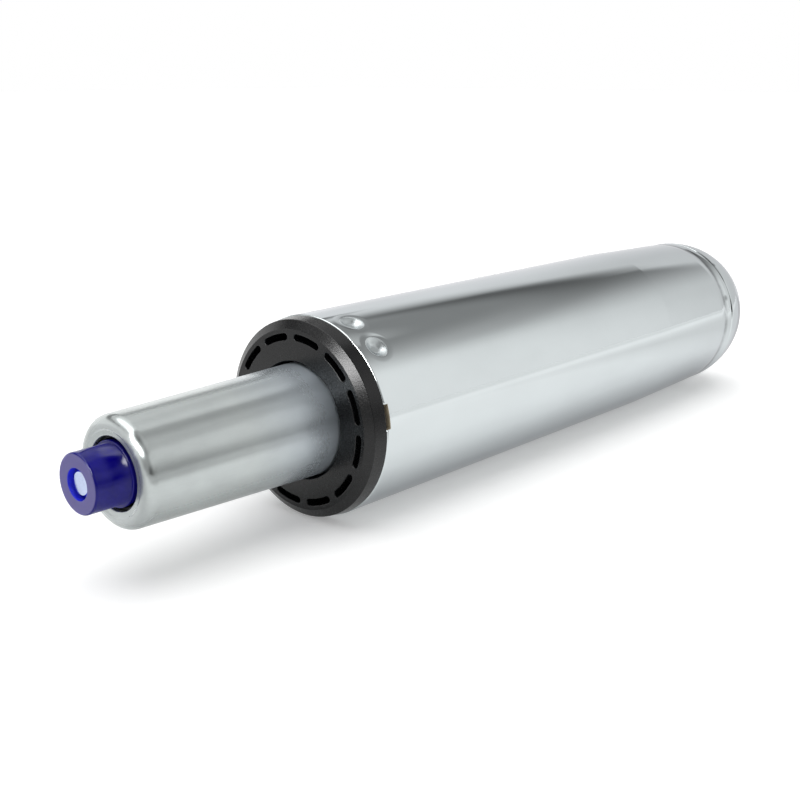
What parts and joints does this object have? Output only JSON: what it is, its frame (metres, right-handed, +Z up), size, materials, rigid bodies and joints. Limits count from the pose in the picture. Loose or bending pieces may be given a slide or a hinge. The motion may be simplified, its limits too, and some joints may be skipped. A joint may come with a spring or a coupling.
{
  "type": "gas lift cylinder",
  "caption": "Pneumatic chair height cylinder: chromed column with a tapered foot, black guide sleeve, sliding tapered pressure tube and a blue release button.",
  "frame": {"origin": "on the column's axis, in the plane of the foot end", "axes": "+Y along the axis towards the foot, -Y towards the release button, +Z up with the cylinder lying on its side, +X to the side that shows the rim notch"},
  "size_m": [0.05, 0.2624, 0.05],
  "materials": {
    "bright_chrome": "bright chrome plate on drawn steel tube",
    "ground_steel": "ground and lightly polished steel, fine lengthwise bands",
    "black_plastic": "moulded acetal with a fine matt grain",
    "blue_plastic": "slightly translucent blue-violet moulding, satin gloss",
    "hard_chrome": "ground and hard chromed rod",
    "zinc_steel": "bright zinc plated steel",
    "spring_steel": "blackened and oiled spring steel",
    "raw_steel": "bare pressed steel, lightly oiled",
    "bearing_steel": "hardened and polished bearing steel",
    "cage_plastic": "natural moulded polyamide",
    "guide_plastic": "natural moulded acetal",
    "turned_aluminium": "turned aluminium with fine tool lines",
    "black_anodised": "turned aluminium, anodised black",
    "turned_brass": "turned brass",
    "black_rubber": "moulded nitrile rubber, matt",
    "felt": "oiled felt ring"
  },
  "bodies": {
    "column": {"column_tube": "bright_chrome", "base_plate": "raw_steel", "guide_sleeve": "black_plastic", "lower_race": "bearing_steel"},
    "bearing": {"ball_cage": "cage_plastic", "bearing_balls": "bearing_steel"},
    "rod": {"piston_rod": "hard_chrome", "upper_race": "bearing_steel", "bumper_washer": "zinc_steel", "rubber_bumper": "black_rubber", "foot_washer": "zinc_steel", "retaining_clip": "spring_steel", "piston": "turned_aluminium", "piston_ring": "black_rubber", "piston_washers": "zinc_steel"},
    "cylinder": {"pressure_tube": "ground_steel", "inner_tube": "raw_steel", "centring_ring": "guide_plastic", "rod_guide": "guide_plastic", "guide_o_ring": "black_rubber", "rod_seal": "black_rubber", "rod_wiper": "felt", "end_washer": "zinc_steel", "valve_body": "black_anodised", "valve_o_rings": "black_rubber", "pin_seal": "black_rubber", "seal_retainer": "turned_brass"},
    "button": {"valve_pin": "hard_chrome", "release_button": "blue_plastic"}
  },
  "joints": [
    {"name": "swivel", "type": "hinge", "parent": "column", "child": "rod", "pos_m": [0, 0, 0], "axis": [0, -1, 0], "continuous": true},
    {"name": "bearing_turn", "type": "hinge", "parent": "column", "child": "bearing", "pos_m": [0, 0, 0], "axis": [0, -1, 0], "continuous": true},
    {"name": "lift", "type": "slide", "parent": "rod", "child": "cylinder", "axis": [0, -1, 0], "range_m": [0, 0.1]},
    {"name": "button_press", "type": "slide", "parent": "cylinder", "child": "button", "axis": [0, 1, 0], "range_m": [0, 0.0045], "stiffness_N_per_m": 1500, "springref_m": -0.003}
  ],
  "couplings": [
    {"joint": "bearing_turn", "follows": "swivel", "ratio": 0.5}
  ]
}
